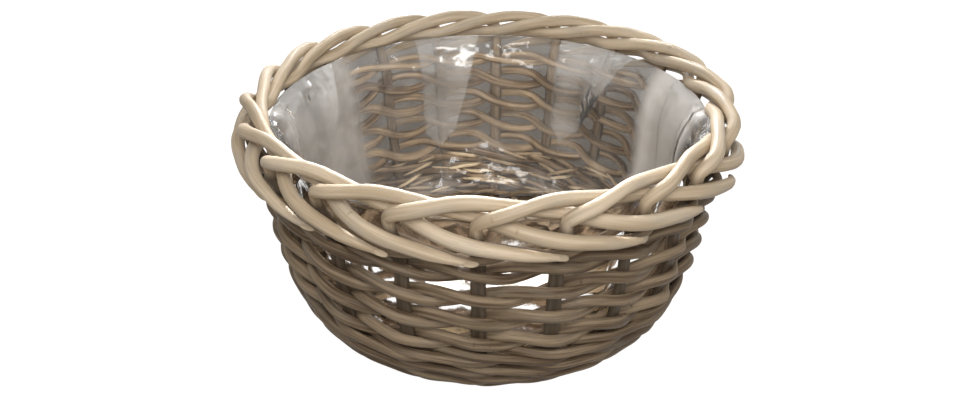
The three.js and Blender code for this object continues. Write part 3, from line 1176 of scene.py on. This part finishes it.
def filmMaterial():
    shader = Shader(bpy.data.materials.new("clearFilm"))
    where = shader.node("ShaderNodeTexCoord", None, None, "Object")
    clouds = shader.noise(where, filmLook["cloudScale"], filmLook["detail"])
    ripple = shader.noise(where, filmLook["rippleScale"], filmLook["detail"])
    bump = shader.bump(filmLook["rippleStrength"], filmLook["rippleHeight"], ripple)
    hazy = shader.attribute("haze")
    onFloor = shader.attribute("onFloor")
    clear = shader.node("ShaderNodeBsdfTransparent", None, {"Color": filmLook["clear"]})
    lit = shader.node("ShaderNodeBsdfDiffuse", None, {"Color": filmLook["lit"], "Normal": bump})
    backlit = {"Color": filmLook["through"], "Normal": bump}
    through = shader.node("ShaderNodeBsdfTranslucent", None, backlit)
    veil = shader.mixed(shader.step(hazy, *filmLook["veilRange"]), lit, through)
    milkiness = clouds * filmLook["cloudShare"] + hazy * filmLook["hazeShare"]
    milkiness = milkiness - onFloor * filmLook["floorLoss"]
    body = shader.mixed(shader.step(milkiness, *filmLook["milkyRange"]), clear, veil)
    shine = shader.node("ShaderNodeBsdfGlossy", None, {
        "Color": white,
        "Roughness": filmLook["shineRoughness"],
        "Normal": bump,
    })
    fresnel = shader.node("ShaderNodeFresnel", None, {"IOR": filmLook["ior"], "Normal": bump})
    shineShare = fresnel * (filmLook["shineShare"] - onFloor * filmLook["floorShineLoss"])
    return shader.done(shader.mixed(shineShare, body, shine))


sheet = filmObject(filmMaterial())
place(sheet, "film_liner")
print("film made")


# Stage: a pale floor, a white surround and soft lamps. The one at the mouth lights the film's front.
stage = {
    "floorSize": 6.0,
    "floorColour": (0.15, 0.129, 0.107, 1),
    "floorRoughness": 0.8,
    "floorSpecular": 0.2,
    "floorGlow": 0.97,
    "ambient": 0.43,
    "lamps": {
        "key": {
            "power": 4.3,
            "size": 0.45,
            "height": 0.45,
            "place": (0.05, -0.62, 0.58),
            "aim": (0, 0, 0.06),
        },
        "mouth": {
            "power": 0.36,
            "size": 0.22,
            "height": 0.06,
            "spread": 24,
            "place": (0, 0.38, 0.36),
            "aim": (0, -0.13, 0.085),
        },
        "behind": {
            "power": 2.0,
            "size": 0.9,
            "height": 0.25,
            "place": (0, 0.72, 0.15),
            "aim": (0, 0.1, 0.07),
        },
    },
}
camera = {
    "place": (-0.0016, -0.5335, 0.3629),
    "tilt": 0.5175,  # radians below level
    "lens": 36.125,
}


# The floor glows white to the eye and in reflections, but not where it is seen through the film.
def floorMaterial():
    shader = Shader(bpy.data.materials.new("paleFloor"))
    surface = shader.node("ShaderNodeBsdfPrincipled", None, {
        "Base Color": stage["floorColour"],
        "Roughness": stage["floorRoughness"],
        "Specular IOR Level": stage["floorSpecular"],
    })
    filmsPassed = shader.ray("Transparent Depth")
    seen = shader.ray("Is Camera Ray") * filmsPassed.maths("LESS_THAN", filmsPassed, 0.5)
    seen = seen + shader.ray("Is Glossy Ray") + shader.ray("Is Transmission Ray")
    glow = shader.node("ShaderNodeEmission", None, {
        "Color": white,
        "Strength": seen * stage["floorGlow"],
    })
    return shader.done(shader.node("ShaderNodeAddShader", None, {0: surface, 1: glow}))


def makeFloor():
    half = stage["floorSize"] / 2
    corners = [(-half, -half, 0), (half, -half, 0), (half, half, 0), (-half, half, 0)]
    mesh = bpy.data.meshes.new("floor")
    mesh.from_pydata(corners, [], [(0, 1, 2, 3)])
    mesh.materials.append(floorMaterial())
    added("floor", mesh)


def makeWorld():
    world = bpy.data.worlds.new("surround")
    bpy.context.scene.world = world
    shader = Shader(world)
    seen = shader.ray("Is Camera Ray") + shader.ray("Is Glossy Ray") + shader.ray("Is Transmission Ray")
    dim, bright = (
        shader.node("ShaderNodeBackground", None, {"Color": white, "Strength": strength})
        for strength in (stage["ambient"], 1.0)
    )
    shader.done(shader.mixed(seen, dim, bright), "ShaderNodeOutputWorld")


def makeLamp(name, settings):
    light = bpy.data.lights.new(name, "AREA")
    light.energy = settings["power"]
    light.shape = "RECTANGLE"
    light.size = settings["size"]
    light.size_y = settings["height"]
    light.spread = math.radians(settings.get("spread", 180))
    lamp = added(name, light)
    lamp.location = settings["place"]
    lamp.visible_camera = False
    towards = np.array(settings["aim"]) - np.array(settings["place"])
    distance = np.linalg.norm(towards)
    lamp.rotation_euler = (math.acos(-towards[2] / distance), 0, math.atan2(-towards[0], towards[1]))


def makeCamera():
    data = bpy.data.cameras.new("camera")
    data.lens = camera["lens"]
    made = added("camera", data)
    made.location = camera["place"]
    made.rotation_euler = (math.pi / 2 - camera["tilt"], 0, 0)
    bpy.context.scene.camera = made


makeFloor()
makeWorld()
for name, settings in stage["lamps"].items():
    makeLamp(name, settings)
makeCamera()
bpy.context.scene.view_settings.view_transform = "Standard"
print("stage made")
